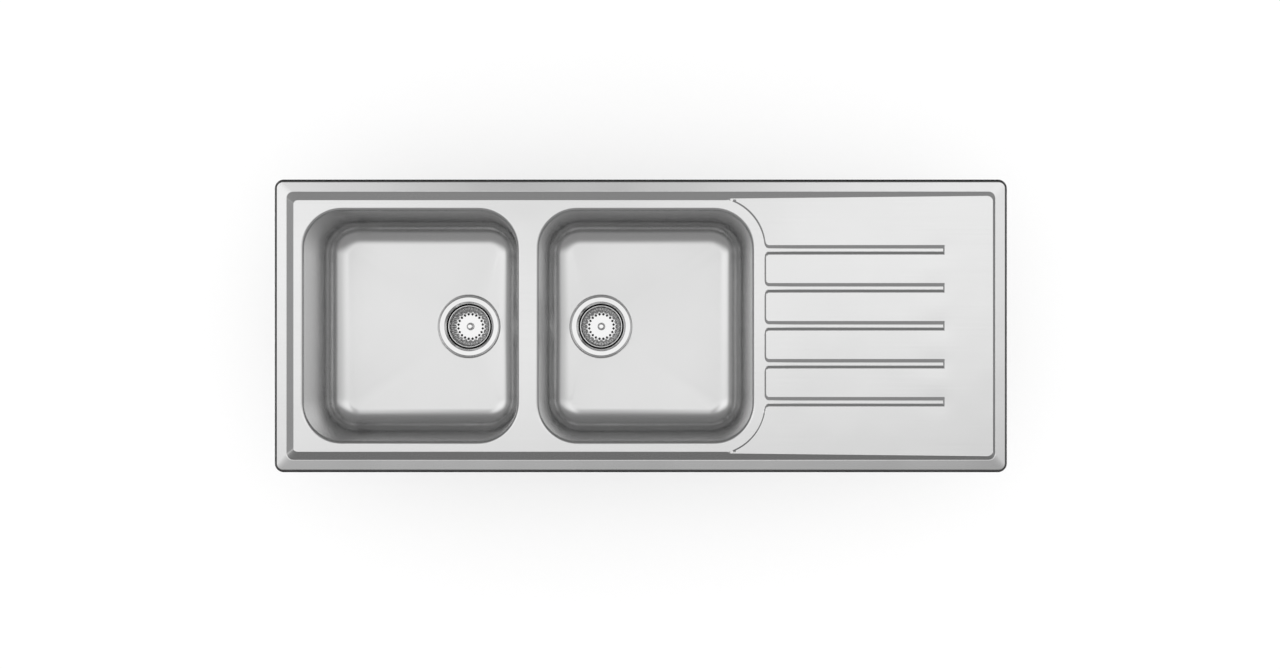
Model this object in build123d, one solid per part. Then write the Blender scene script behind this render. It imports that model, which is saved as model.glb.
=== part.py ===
from build123d import *
import math
import os

# Inset stainless sink: two deep bowls on the left, a grooved drainer on the right.
# Millimetres. The origin is the centre of the outline at the level of the worktop that the rim lies on.
# +X runs towards the drainer, +Y towards the back, +Z up.

# Outline and rim
length = 1250.0
width = 500.0
outline_corner = 15.5
sheet = 0.9
rim_width = 22.0
rim_edge_height = 6.0
rim_height = 8.0
rim_roll = 5.0
ridge_corner = 12.0
ridge_round = 3.0
recess_depth = 9.0
recess_corner = 7.0
recess_round = 3.0
long_side_run = 13.0
left_end_run = 10.0
right_end_run = 7.0

# Bowls
bowl_length = 365.0
bowl_width = 394.0
bowl_corner = 66.0
bowl_depth = 176.0
bowl_draft = 3.5
bowl_foot = 40.0
bowl_lip = 6.0
bowl_end_margin = 48.5
bowl_divider = 37.0
collar = 8.0
floor_fall = 4.0

# Drainer
step_margin = 22.0
step_height = 2.2
step_run = 2.6
drainer_end_drop = 3.6
groove_count = 5
groove_pitch = 64.8
groove_floor = 5.5
groove_side = 5.2
groove_depth = 2.4
groove_end_margin = 107.0
groove_end_round = 2.5
groove_floor_round = 2.0
finger_round = 4.5
drainer_edge_round = 1.0

# Strainer seat in the bowl floor
waste_margin = 102.0
waste_hole = 45.0
seat_radius = 56.0
seat_depth = 5.0
seat_wall_lean = 0.6

# Strainer cup: radii and depths below the seat
cup_sheet = 0.8
flange_radius = 55.0
flange_crown = 1.5
flange_dip = 0.4
cup_mouth = 43.0
cup_neck = 40.5
cup_neck_depth = 9.0
cup_wall = 37.0
cup_wall_depth = 27.0
cup_well = 28.4
cup_depth = 44.0
cup_round = 2.5
flange_round = 7.5
drain_holes = 8
drain_hole = 5.5
drain_ring = 18.5

# Basket: radii and depths below the seat
basket_sheet = 0.6
basket_lip = 38.8
basket_lip_depth = 3.0
basket_throat = 36.2
basket_shelf_depth = 9.0
basket_shoulder = 33.5
basket_base = 25.5
basket_depth = 26.0
basket_foot_round = 1.5
basket_hole = 3.2
basket_hole_ring = 22.4
flutes = 20
flute_wide = 1.7
flute_narrow = 0.6
flute_margin = 0.12

# Knob, seal and nut of the basket
stem = 2.5
knob_radius = 6.0
knob_height = 4.0
knob_stand = 13.0
knob_foot = 7.0
knob_foot_edge = 1.2
knob_foot_height = 2.4
knob_neck = 0.8
stem_end = 1.0
seal_thickness = 4.4
seal_edge = 2.8
seal_nut_across = 8.0
seal_nut_height = 3.0

# Outlet under the bowl
flange_gasket = 1.2
flange_gasket_margin = 1.5
outlet_gasket = 3.0
gasket_bore = 46.5
outlet_flange = 57.0
outlet_flange_thickness = 5.0
outlet_bore = 45.2
outlet_wall = 3.2
outlet_belly = 43.2
outlet_belly_depth = 48.0
spigot_top_depth = 64.0
spigot_radius = 23.9
spigot_bore = 20.6
outlet_end_depth = 98.0
boss = 7.5
boss_height = 15.0
web_thickness = 3.0
web_top_drop = 4.0
insert_radius = 4.5
insert_length = 12.0
waste_screw = 3.0
waste_screw_head = 5.5
waste_screw_head_height = 3.5
waste_screw_length = 12.0
waste_screw_round = 1.2

# Seal strip and sound-deadening pads
rim_seal_margin = 3.0
rim_seal_width = 7.0
rim_seal_corner = 7.5
pad_thickness = 2.5
pad_length = 130.0
pad_width = 210.0
pad_corner = 12.0
pad_offset = 45.0
drainer_pad_length = 260.0
drainer_pad_width = 40.0
drainer_pad_start = 25.0

# Worktop clamps
clamp_inset = 21.5
clamp_spacing = 480.0
bracket_sheet = 1.5
bracket_reach = 8.5
bracket_length = 26.0
bracket_web = 2.5
weld_flange = 5.5
stop_leaf = 5.7
stop_leaf_depth = 57.5
stop_leaf_foot = 2.0
clamp_screw = 2.5
clamp_collar = 4.2
clamp_screw_end = 62.0
clamp_head_across = 8.0
clamp_head_height = 4.0
nut_flange = 6.3
nut_flange_height = 2.2
nut_hub = 4.4
nut_lip = 5.2
nut_lip_height = 0.8
claw_thickness = 3.2
claw_width = 12.0
claw_tail_width = 10.0
claw_hub = 7.5
claw_reach = 27.0
claw_tail = 11.0
claw_tip = 3.0
claw_tip_height = 8.0
claw_teeth = 3

# Fits and cutting overrun
running_gap = 0.05
rest_gap = 0.3
overrun = 10.0

half_length = length / 2
half_width = width / 2
platform_z = rim_height - recess_depth
weld_z = platform_z - collar
floor_z = platform_z - bowl_depth
seat_z = floor_z - seat_depth
left_bowl_x = -half_length + bowl_end_margin + bowl_length / 2
right_bowl_x = left_bowl_x + bowl_length + bowl_divider
left_waste_x = left_bowl_x + bowl_length / 2 - waste_margin
right_waste_x = right_bowl_x - bowl_length / 2 + waste_margin
step_x = right_bowl_x + bowl_length / 2 + step_margin
step_z = platform_z + step_height
drainer_end_x = half_length - rim_width
drainer_fall = (rim_height - drainer_end_drop - step_z) / (drainer_end_x - step_x)


def box_between(low, high):
    """A box from its lowest corner to its highest."""
    size = [b - a for a, b in zip(low, high)]
    return Pos(*low) * Box(*size, align=(Align.MIN, Align.MIN, Align.MIN))


def ring(outer, inner, low, high):
    """A flat ring about Z between two heights."""
    middle = Pos(0, 0, (low + high) / 2)
    return middle * (Cylinder(outer, high - low) - Cylinder(inner, high - low))


def disc(radius, low, high):
    """A cylinder about Z between two heights."""
    return Pos(0, 0, (low + high) / 2) * Cylinder(radius, high - low)


def inset_plate(inset, corner, z):
    """A flat face that follows the outline of the sink at an inset."""
    return Pos(0, 0, z) * RectangleRounded(length - 2 * inset, width - 2 * inset, corner)


def span_plate(x0, x1, y0, y1, corner, z):
    """A flat face with round corners between two places each way."""
    middle = Pos((x0 + x1) / 2, (y0 + y1) / 2, z)
    return middle * RectangleRounded(x1 - x0, y1 - y0, corner)


def strip_plate(x0, x1, y0, y1, z):
    """A flat face with square corners."""
    return Pos((x0 + x1) / 2, (y0 + y1) / 2, z) * Rectangle(x1 - x0, y1 - y0)


def ruled(low, high):
    """The solid between two faces of like corners."""
    return loft([low, high], ruled=True)


def turned(points):
    """A solid of revolution about Z from its (radius, height) corners."""
    corners = Polyline(*points, close=True)
    return revolve(Plane.XZ * make_face(corners), Axis.Z)


def turned_sheet(points, rounding, thickness):
    """A spun sheet about Z whose inner side follows (radius, height) corners from the axis outwards."""
    path = FilletPolyline(*points, radius=rounding)
    outline = offset(path, amount=thickness, side=Side.RIGHT, kind=Kind.INTERSECTION, closed=True)
    return revolve(Plane.XZ * make_face(outline), Axis.Z)


def hexagon(across, low, high):
    """A hexagonal bar about Z between two heights."""
    face = Pos(0, 0, low) * RegularPolygon(across / math.sqrt(3), 6)
    return extrude(face, high - low)


def around(shape, count):
    """Copies of a shape, spaced evenly about Z."""
    return [Rot(0, 0, 360 / count * i) * shape for i in range(count)]


def level(edge, z):
    """True if the whole edge lies at one height."""
    return all(abs(edge.position_at(t).Z - z) < 0.01 for t in (0, 0.5, 1))


def below_drainer(point):
    """Vertical depth of a point below the plane of the drainer."""
    return step_z + drainer_fall * (point.X - step_x) - point.Z


def at_depth(edge, depth):
    """True if the whole edge lies at one depth below the drainer."""
    return all(abs(below_drainer(edge.position_at(t)) - depth) < 0.02 for t in (0, 0.5, 1))


# Pressed deck


def on_drainer(shape):
    """Tips a shape drawn about the step line, with the drainer level, to the fall of the drainer."""
    tilt = math.degrees(math.atan(drainer_fall))
    return Pos(step_x, 0, step_z) * Rot(0, -tilt, 0) * shape


def rim_slab():
    """The solid under the rim, whose top rises from the outline to the ridge."""
    slope = (rim_height - rim_edge_height) / rim_width
    low_z = rim_edge_height - slope * overrun
    low = inset_plate(-overrun, outline_corner + overrun, low_z)
    high = inset_plate(rim_width, ridge_corner, rim_height)
    return extrude(low, weld_z - overrun - low_z) + ruled(low, high)


def recess():
    """The pocket inside the ridge, down sloping sides to the level of the bowl platform."""
    low = span_plate(
        -half_length + rim_width + left_end_run,
        half_length - rim_width - right_end_run,
        -half_width + rim_width + long_side_run,
        half_width - rim_width - long_side_run,
        recess_corner,
        platform_z,
    )
    return ruled(low, inset_plate(rim_width, ridge_corner, rim_height))


def platform_pocket():
    """The space over the platform, as far as the step that runs round the right bowl."""
    spread = step_run / step_height * overrun
    corner = bowl_corner + step_margin
    foot_x = step_x - step_run / 2
    side_y = bowl_width / 2 + step_margin
    low = span_plate(-half_length, foot_x, -side_y, side_y, corner, platform_z)
    high = span_plate(
        -half_length - spread,
        foot_x + spread,
        -side_y - spread,
        side_y + spread,
        corner + spread,
        platform_z + overrun,
    )
    return ruled(low, high)


def groove(y):
    """The space of one groove, open at the step and closed at the far end, with the drainer level."""
    end = half_length - groove_end_margin - step_x
    foot = groove_floor / 2
    brow = foot + 2 * groove_side
    low = strip_plate(-overrun, end - groove_side, y - foot, y + foot, -groove_depth)
    high = strip_plate(-overrun, end + groove_side, y - brow, y + brow, groove_depth)
    return ruled(low, high)


def groove_places():
    return [(i - (groove_count - 1) / 2) * groove_pitch for i in range(groove_count)]


def drainer_block(soft):
    """The raised drainer, with its fall, its step and its grooves; its bends are rounded where it is soft."""
    margin = rim_width + ridge_round / 4
    low_corner = (right_bowl_x, -half_width + margin, weld_z - overrun)
    high_corner = (half_length - margin, half_width - margin, rim_height)
    above = box_between((-length, -width, 0), (length, width, overrun + rim_height))
    block = box_between(low_corner, high_corner) - on_drainer(above) - platform_pocket()
    for y in groove_places():
        block = block - on_drainer(groove(y))

    def crosses_step(edge):
        leaves_plane = abs(below_drainer(edge @ 0) - below_drainer(edge @ 1)) > step_height / 2
        off_groove = min(abs(abs(y - (edge @ 0.5).Y) - groove_floor) for y in groove_places())
        return leaves_plane and off_groove < groove_side / 2 and abs((edge @ 0.5).X - step_x) < step_run

    def at_groove_end(edge):
        leaves_plane = abs(below_drainer(edge @ 0) - below_drainer(edge @ 1)) > groove_depth / 2
        middle = half_length - groove_end_margin - groove_side / 2
        return leaves_plane and abs((edge @ 0.5).X - middle) < groove_side / 4

    def brow_edge(edge):
        inside_x = low_corner[0] + 1 < (edge @ 0.5).X < high_corner[0] - 1
        return at_depth(edge, 0) and inside_x and abs((edge @ 0.5).Y) < high_corner[1] - 1

    block = block.fillet(finger_round, block.edges().filter_by(crosses_step))
    block = block.fillet(groove_end_round, block.edges().filter_by(at_groove_end))
    if not soft:
        return block
    block = block.fillet(drainer_edge_round, block.edges().filter_by(brow_edge))
    floors = block.edges().filter_by(lambda e: at_depth(e, groove_depth) and (e @ 0.5).X > step_x)
    return block.fillet(groove_floor_round, floors)


def pressed_form(soft):
    """A slab larger than the sink whose top is the face of the pressed sheet, with or without rounded bends."""
    form = rim_slab() - recess()
    if not soft:
        return form + drainer_block(soft)

    def on_ridge(edge):
        inside = abs((edge @ 0.5).X) < half_length - rim_width + 1 and abs((edge @ 0.5).Y) < half_width
        return level(edge, rim_height) and inside

    form = form.fillet(ridge_round, form.edges().filter_by(on_ridge))
    form = form.fillet(recess_round, form.edges().filter_by(lambda e: level(e, platform_z)))
    return form + drainer_block(soft)


def bowl_plate(x, grow, z):
    """Section of a bowl at height z, on the inside of its sheet or outside it by a growth."""
    spread = grow + (z - platform_z) * math.tan(math.radians(bowl_draft))
    return Pos(x, 0, z) * RectangleRounded(
        bowl_length + 2 * spread, bowl_width + 2 * spread, bowl_corner + spread
    )


def deck_solid(form, inset, z_shift):
    """The form trimmed to the outline, with its rolled edge and with the two openings and their lips."""
    outline = extrude(inset_plate(inset, outline_corner - inset, weld_z), overrun + rim_height - weld_z)
    solid = form.moved(Location((0, 0, z_shift))) & outline

    def outer_top(edge):
        reach_x = abs((edge @ 0.5).X) > half_length - inset - 0.3 * outline_corner
        reach_y = abs((edge @ 0.5).Y) > half_width - inset - 0.3 * outline_corner
        low, high = sorted([(edge @ 0).Z, (edge @ 1).Z])
        return (reach_x or reach_y) and low > 0 and high - low < 0.3

    solid = solid.fillet(rim_roll - inset, solid.edges().filter_by(outer_top))
    for x in (left_bowl_x, right_bowl_x):
        opening = ruled(bowl_plate(x, inset, weld_z - overrun), bowl_plate(x, inset, platform_z + overrun))
        solid = solid - opening
    lips = solid.edges().filter_by(lambda e: level(e, platform_z + z_shift)).filter_by(at_opening)
    return solid.fillet(bowl_lip - inset, lips)


def at_opening(edge):
    """True for an edge of the platform that bounds a bowl opening."""
    middle = edge @ 0.5
    near_y = abs(middle.Y) < bowl_width / 2 + 2 * sheet
    near_x = min(abs(middle.X - x) for x in (left_bowl_x, right_bowl_x)) < bowl_length / 2 + 2 * sheet
    return near_x and near_y


# Bowls


def bowl_space(x, waste_x, grow):
    """The inside of a bowl, or the solid of its outside, grown by the sheet."""
    bottom_z = floor_z - grow
    foot = bowl_plate(x, grow, bottom_z)
    apex = Vertex(waste_x, 0, bottom_z - floor_fall)
    well = ruled(foot, bowl_plate(x, grow, weld_z + overrun)) + loft([foot, apex], ruled=True)
    well = well.fillet(bowl_foot + grow, well.edges().filter_by(lambda e: level(e, bottom_z)))
    seat_bottom = seat_z - grow
    seat_top = floor_z + 1
    seat = turned(
        [
            (0, seat_bottom),
            (seat_radius + grow, seat_bottom),
            (seat_radius + grow + seat_wall_lean, seat_top),
            (0, seat_top),
        ]
    )
    return well + Pos(waste_x, 0, 0) * seat


def bowl(x, waste_x):
    """A drawn bowl that starts at the weld under the collar of the deck."""
    shell = bowl_space(x, waste_x, sheet) - bowl_space(x, waste_x, 0)
    over = box_between((x - bowl_length, -width, weld_z), (x + bowl_length, width, weld_z + 3 * overrun))
    return shell - over - Pos(waste_x, 0, 0) * disc(waste_hole, seat_z - overrun, seat_z + overrun)


def bowl_pad(x, waste_x):
    """A stuck-on pad that follows the underside of the bowl floor, beside the outlet."""
    away = math.copysign(pad_offset, x - waste_x)
    block = extrude(
        span_plate(
            x + away - pad_length / 2,
            x + away + pad_length / 2,
            -pad_width / 2,
            pad_width / 2,
            pad_corner,
            floor_z - 2 * overrun,
        ),
        2 * overrun,
    )
    outside = bowl_space(x, waste_x, sheet)
    return (block & outside.moved(Location((0, 0, -pad_thickness)))) - outside


# Strainers: heights are measured from the seat in the bowl floor


def cup_seat_radius(z):
    """Radius of the conical seat inside the cup."""
    return cup_wall + (z + cup_wall_depth)


def upper_gasket():
    """The thin washer between the flange of the cup and the bowl."""
    return ring(flange_radius - flange_gasket_margin, waste_hole, 0, flange_gasket)


def waste_cup():
    """The spun cup: a crowned flange, a tapered wall, a conical seat and a pierced bottom."""
    mouth_z = flange_gasket + cup_sheet - flange_dip
    crown_radius = (flange_radius + cup_mouth) / 2
    path = [
        (waste_screw + rest_gap, -cup_depth),
        (cup_well, -cup_depth),
        (cup_well, cup_well - cup_wall - cup_wall_depth),
        (cup_wall, -cup_wall_depth),
        (cup_neck, -cup_neck_depth),
        (cup_mouth, mouth_z),
        (crown_radius, mouth_z + flange_crown),
        (flange_radius - cup_sheet, mouth_z + rest_gap),
        (flange_radius, cup_sheet / 2),
    ]
    rounding = [cup_round, 0, 0, 0, cup_round, flange_round, cup_sheet]
    cup = turned_sheet(path, rounding, cup_sheet)
    hole = Pos(drain_ring, 0, 0) * disc(drain_hole, -cup_depth - overrun, -cup_depth + overrun)
    return cup - around(hole, drain_holes)


def basket_path():
    """Corners of the upper face of the basket, from its middle to its lip."""
    lip_end = basket_lip_depth + 2 * basket_sheet
    return [
        (stem + running_gap, -basket_depth),
        (basket_base, -basket_depth),
        (basket_shoulder, -basket_shelf_depth - basket_sheet),
        (basket_throat, -basket_shelf_depth),
        (basket_throat + basket_sheet, -basket_lip_depth),
        (basket_lip - basket_sheet, -basket_lip_depth),
        (basket_lip, -lip_end),
    ]


def flute(grow, long):
    """A square bar that widens upwards, whose corner presses one flute into the cone."""
    high = Pos(0, 0, long) * RegularPolygon(flute_wide + grow, 4)
    return ruled(RegularPolygon(flute_narrow + grow, 4), high)


def basket():
    """The spun basket, with flutes pressed into its cone and a ring of square holes round its base."""
    path = basket_path()
    rounding = [basket_foot_round, 0, 0, 0, 0]
    sheet_part = turned_sheet(path, rounding, basket_sheet)
    inside_corners = [(0, path[0][1])] + path[1:5] + [(path[4][0], overrun), (0, overrun)]
    inside = turned(inside_corners)
    foot = Vector(path[1][0], 0, path[1][1])
    brow = Vector(path[2][0], 0, path[2][1])
    start = foot + (brow - foot) * flute_margin
    run = (brow - foot) * (1 - 2 * flute_margin)
    place = Plane(origin=start, z_dir=run)
    bead = place * flute(basket_sheet * math.sqrt(2), run.length)
    hollow = place * flute(0, run.length)
    fluted = sheet_part + around(bead - inside, flutes) - around(hollow, flutes)
    hole = Pos(basket_hole_ring, 0, -basket_depth) * Rot(0, 0, 45) * Box(basket_hole, basket_hole, overrun)
    return fluted - Rot(0, 0, 180 / flutes) * Compound(around(hole, flutes))


def basket_knob():
    """The pull knob and the stem that carries the seal."""
    base = -basket_depth
    cap = base + knob_stand
    end = base - basket_sheet - seal_thickness - seal_nut_height - stem_end
    knob = turned(
        [
            (0, end),
            (stem, end),
            (stem, base),
            (knob_foot, base),
            (knob_foot - knob_foot_edge, base + knob_foot_edge),
            (stem + knob_neck, base + knob_foot_height),
            (stem, cap - knob_height),
            (knob_radius, cap - 0.7 * knob_height),
            (knob_radius, cap - 0.4 * knob_height),
            (0.6 * knob_radius, cap),
            (0, cap),
        ]
    )
    return knob


def basket_seal():
    """The rubber plug under the basket, whose edge meets the seat of the cup."""
    top = -basket_depth - basket_sheet
    bottom = top - seal_thickness
    edge_top = bottom + seal_edge
    clearance = rest_gap * math.sqrt(2)
    return turned(
        [
            (stem + running_gap, top),
            (basket_base, top),
            (cup_seat_radius(edge_top) - clearance, edge_top),
            (cup_seat_radius(bottom) - clearance, bottom),
            (stem + running_gap, bottom),
        ]
    )


def basket_nut():
    top = -basket_depth - basket_sheet - seal_thickness
    return hexagon(seal_nut_across, top - seal_nut_height, top) - disc(
        stem + running_gap, top - overrun, top + overrun
    )


def lower_gasket():
    return ring(flange_radius, gasket_bore, -sheet - outlet_gasket, -sheet)


def outlet_body():
    """The moulded funnel under the bowl, with a web that holds the boss for the screw."""
    top = -sheet - outlet_gasket
    fall = (spigot_top_depth - outlet_belly_depth) / (outlet_belly - spigot_bore)
    drop = outlet_wall * math.sqrt(1 + fall**2)
    inside = [
        (outlet_bore, top),
        (outlet_belly, -outlet_belly_depth),
        (spigot_bore, -spigot_top_depth),
        (spigot_bore, -outlet_end_depth),
    ]
    outside = [
        (spigot_radius, -outlet_end_depth),
        (spigot_radius, -spigot_top_depth + fall * (spigot_radius - spigot_bore) - drop),
        (outlet_belly + outlet_wall, -outlet_belly_depth + fall * outlet_wall - drop),
        (outlet_bore + outlet_wall, top - outlet_flange_thickness),
        (outlet_flange, top - outlet_flange_thickness),
        (outlet_flange, top),
    ]
    body = turned(inside + outside)
    space = turned([(0, top), *inside, (0, -outlet_end_depth)])
    boss_top = -cup_depth - cup_sheet - rest_gap
    boss_bottom = boss_top - boss_height
    web_half = web_thickness / 2
    web_top = boss_top - web_top_drop
    web = box_between((-outlet_bore, -web_half, boss_bottom), (outlet_bore, web_half, web_top))
    webs = web + Rot(0, 0, 90) * web
    body = body + ((webs & space) + disc(boss, boss_bottom, boss_top))
    return body - disc(insert_radius, boss_top - insert_length, boss_top + 1)


def waste_insert():
    top = -cup_depth - cup_sheet - rest_gap
    return ring(insert_radius, waste_screw + running_gap, top - insert_length, top)


def waste_screw_part():
    head_top = -cup_depth + waste_screw_head_height
    end = -cup_depth - waste_screw_length
    return turned(
        [
            (0, end),
            (waste_screw, end),
            (waste_screw, -cup_depth),
            (waste_screw_head, -cup_depth),
            (waste_screw_head, head_top - waste_screw_round),
            (waste_screw_head - waste_screw_round, head_top),
            (0, head_top),
        ]
    )


def strainer_parts():
    """Every piece of one strainer and its outlet, by name."""
    return {
        "flange_gasket": upper_gasket(),
        "strainer_cup": waste_cup(),
        "basket": basket(),
        "basket_knob": basket_knob(),
        "basket_seal": basket_seal(),
        "basket_nut": basket_nut(),
        "outlet_gasket": lower_gasket(),
        "outlet_body": outlet_body(),
        "outlet_insert": waste_insert(),
        "outlet_screw": waste_screw_part(),
    }


# Seal strip and drainer pads


def rim_seal(under):
    """The strip between the rolled edge and the cut-out, filling the height from the worktop to the sheet."""
    outer = inset_plate(rim_seal_margin, outline_corner - rim_seal_margin, 0)
    inner = inset_plate(rim_seal_margin + rim_seal_width, rim_seal_corner, 0)
    return extrude(outer - inner, rim_height) & under


def drainer_pads():
    """Flat strips stuck under the lands between the grooves."""
    start = drainer_pad_start
    strips = []
    for low_y, high_y in zip(groove_places(), groove_places()[1:]):
        middle = (low_y + high_y) / 2
        strip = box_between(
            (start, middle - drainer_pad_width / 2, -pad_thickness),
            (start + drainer_pad_length, middle + drainer_pad_width / 2, 0),
        )
        strips.append(Pos(0, 0, -sheet) * on_drainer(strip))
    return strips


# Worktop clamps: drawn about the screw, with +X towards the edge of the sink and the claw parked along +Y


def clamp_places():
    """Where each clamp stands: three along the back and the front, one at each end."""
    reach_x = half_length - clamp_inset
    reach_y = half_width - clamp_inset
    places = [Pos(i * clamp_spacing, reach_y, 0) * Rot(0, 0, 90) for i in (-1, 0, 1)]
    places += [Pos(i * clamp_spacing, -reach_y, 0) * Rot(0, 0, -90) for i in (-1, 0, 1)]
    return places + [Pos(reach_x, 0, 0), Pos(-reach_x, 0, 0) * Rot(0, 0, 180)]


def bracket(place, under):
    """A bent strap welded under the rim, with a web that holds the screw and a leaf that stops the claw."""
    half = bracket_length / 2
    web_low = -bracket_web - bracket_sheet
    inner = bracket_reach - bracket_sheet
    web = box_between((-bracket_reach, -half, web_low), (bracket_reach, half, -bracket_web))
    legs = [
        box_between((inner, -half, web_low), (bracket_reach, half, rim_height)),
        box_between((-bracket_reach, -half, web_low), (-inner, half, rim_height)),
    ]
    flanges = [
        box_between((bracket_reach - weld_flange, -half, 0), (bracket_reach, half, rim_height)),
        box_between((-bracket_reach, -half, 0), (-bracket_reach + weld_flange, half, rim_height)),
    ]
    leaf_x = claw_width / 2 + rest_gap
    leaf_y = claw_tail_width / 2 + rest_gap
    leaf = box_between(
        (-leaf_x - stop_leaf, leaf_y, -stop_leaf_depth), (-leaf_x, leaf_y + bracket_sheet, -bracket_web)
    )
    tab = box_between(
        (-leaf_x - stop_leaf, leaf_y - stop_leaf_foot, web_low),
        (-leaf_x, leaf_y + bracket_sheet + stop_leaf_foot, -bracket_web),
    )
    placed_legs = [(place * leg) & under for leg in legs]
    filled = [(place * flange) & under for flange in flanges]
    placed_flanges = [solid - solid.moved(Location((0, 0, -bracket_sheet))) for solid in filled]
    plain = web + leaf + tab - disc(clamp_screw + running_gap, web_low - 1, 0)
    return place * plain + placed_legs + placed_flanges


def hanging_screw():
    """The clamp screw: a collar each side of the bracket's web and a hexagonal head at the bottom."""
    web_low = -bracket_web - bracket_sheet
    head_top = -clamp_screw_end + clamp_head_height
    return (
        disc(clamp_screw, head_top, -bracket_web)
        + disc(clamp_collar, -bracket_web, -bracket_web + bracket_sheet)
        + disc(clamp_collar, web_low - bracket_sheet, web_low)
        + hexagon(clamp_head_across, -clamp_screw_end, head_top)
    )


def nut_heights():
    """Underside of the flange, top of the flange, underside of the lip and top of the lip."""
    bottom = -clamp_screw_end + clamp_head_height + rest_gap
    flange_top = bottom + nut_flange_height
    lip_bottom = flange_top + claw_thickness + 2 * running_gap
    return bottom, flange_top, lip_bottom, lip_bottom + nut_lip_height


def climbing_nut():
    """The nut that climbs the screw, with a flange under the claw and a lip peened over it."""
    bottom, flange_top, lip_bottom, top = nut_heights()
    hub = disc(nut_hub, flange_top, lip_bottom)
    body = disc(nut_flange, bottom, flange_top) + hub + disc(nut_lip, lip_bottom, top)
    return body - disc(clamp_screw + running_gap, bottom - 1, top + 1)


def claw():
    """The claw: a hub on the nut, a tail that meets the stop and an arm with an upturned, toothed tip."""
    low = nut_heights()[1] + running_gap
    high = low + claw_thickness
    half = claw_width / 2
    arm = box_between((-half, 0, low), (half, claw_reach, high))
    tail = box_between((-claw_tail_width / 2, -claw_tail, low), (claw_tail_width / 2, 0, high))
    tip = box_between((-half, claw_reach - claw_tip, low), (half, claw_reach, low + claw_tip_height))
    body = disc(claw_hub, low, high) + arm + tail + tip
    body = body - box_between((-claw_hub - 1, 0, low - 1), (-half, claw_hub, high + 1))
    pitch = claw_width / claw_teeth
    tip_top = Pos(0, claw_reach, low + claw_tip_height)
    notch = tip_top * Rot(0, 45, 0) * Box(pitch / 2, 3 * claw_tip, pitch / 2)
    notches = [Pos((i + 0.5) * pitch - half, 0, 0) * notch for i in range(claw_teeth)]
    return body - notches - disc(nut_hub + running_gap, low - 1, high + 1)


def write(name, pieces):
    """Writes the separate solids of one node to its own file."""
    solids = [solid for piece in pieces for solid in piece.solids()]
    export_step(Compound(solids), f"parts/{name}.step")


def build():
    os.makedirs("parts", exist_ok=True)
    under = deck_solid(pressed_form(False), sheet, -sheet)
    below_edge = box_between((-length, -width, weld_z - overrun), (length, width, 0))
    inside_edge = extrude(inset_plate(rim_width, ridge_corner, weld_z - overrun), 2 * overrun)
    deck = deck_solid(pressed_form(True), 0, 0) - under - (below_edge - inside_edge)
    write("deck", [deck])
    write("left_bowl", [bowl(left_bowl_x, left_waste_x)])
    write("right_bowl", [bowl(right_bowl_x, right_waste_x)])
    write("left_bowl_pad", [bowl_pad(left_bowl_x, left_waste_x)])
    write("right_bowl_pad", [bowl_pad(right_bowl_x, right_waste_x)])
    write("drainer_pads", drainer_pads())
    write("rim_seal", [rim_seal(under)])
    strainer = strainer_parts()
    for side, waste_x in (("left", left_waste_x), ("right", right_waste_x)):
        for name, piece in strainer.items():
            write(f"{side}_{name}", [Pos(waste_x, 0, seat_z) * piece])
    places = clamp_places()
    write("clamp_brackets", [bracket(place, under) for place in places])
    write("clamp_screws", [place * hanging_screw() for place in places])
    for number, place in enumerate(places, start=1):
        write(f"clamp_nut_{number}", [place * climbing_nut()])
        write(f"clamp_claw_{number}", [place * claw()])


build()
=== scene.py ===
import math

import bmesh
import bpy
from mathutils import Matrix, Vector
from mathutils.geometry import delaunay_2d_cdt


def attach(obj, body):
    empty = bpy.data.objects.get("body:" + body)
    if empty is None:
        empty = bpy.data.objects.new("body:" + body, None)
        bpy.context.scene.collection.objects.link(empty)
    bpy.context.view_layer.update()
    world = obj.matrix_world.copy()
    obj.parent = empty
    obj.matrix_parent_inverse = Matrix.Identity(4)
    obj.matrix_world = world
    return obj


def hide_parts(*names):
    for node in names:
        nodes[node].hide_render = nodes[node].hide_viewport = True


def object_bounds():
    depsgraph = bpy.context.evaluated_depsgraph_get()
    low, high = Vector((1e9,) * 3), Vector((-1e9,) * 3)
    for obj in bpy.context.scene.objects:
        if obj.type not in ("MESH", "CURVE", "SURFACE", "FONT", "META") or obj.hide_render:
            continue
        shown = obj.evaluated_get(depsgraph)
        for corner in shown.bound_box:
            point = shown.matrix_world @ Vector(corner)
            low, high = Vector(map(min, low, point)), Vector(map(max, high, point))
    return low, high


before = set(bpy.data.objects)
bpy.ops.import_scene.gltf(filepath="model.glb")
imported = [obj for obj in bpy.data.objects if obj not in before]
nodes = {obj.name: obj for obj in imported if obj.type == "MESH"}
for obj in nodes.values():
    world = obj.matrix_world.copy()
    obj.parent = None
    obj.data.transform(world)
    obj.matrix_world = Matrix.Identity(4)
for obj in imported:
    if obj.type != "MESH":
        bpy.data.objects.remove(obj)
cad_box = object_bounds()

# Looks of the inset sink: finishes for every node, a white studio and the camera straight above.
# Metres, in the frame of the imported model: +X towards the drainer, +Y towards the back, +Z up.

# Camera, from the frame of the photograph
image_width_px = 1280
object_shift_px = (0.85, -8.65)
metres_per_px = 0.0017015
camera_height = 2.6
sensor_width = 36.0

# Floor
floor_half = 6.0
floor_glow = 0.50
floor_grey = 0.5
card_gap = 0.002
card_reach = 0.14
card_grey = 0.02

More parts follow.
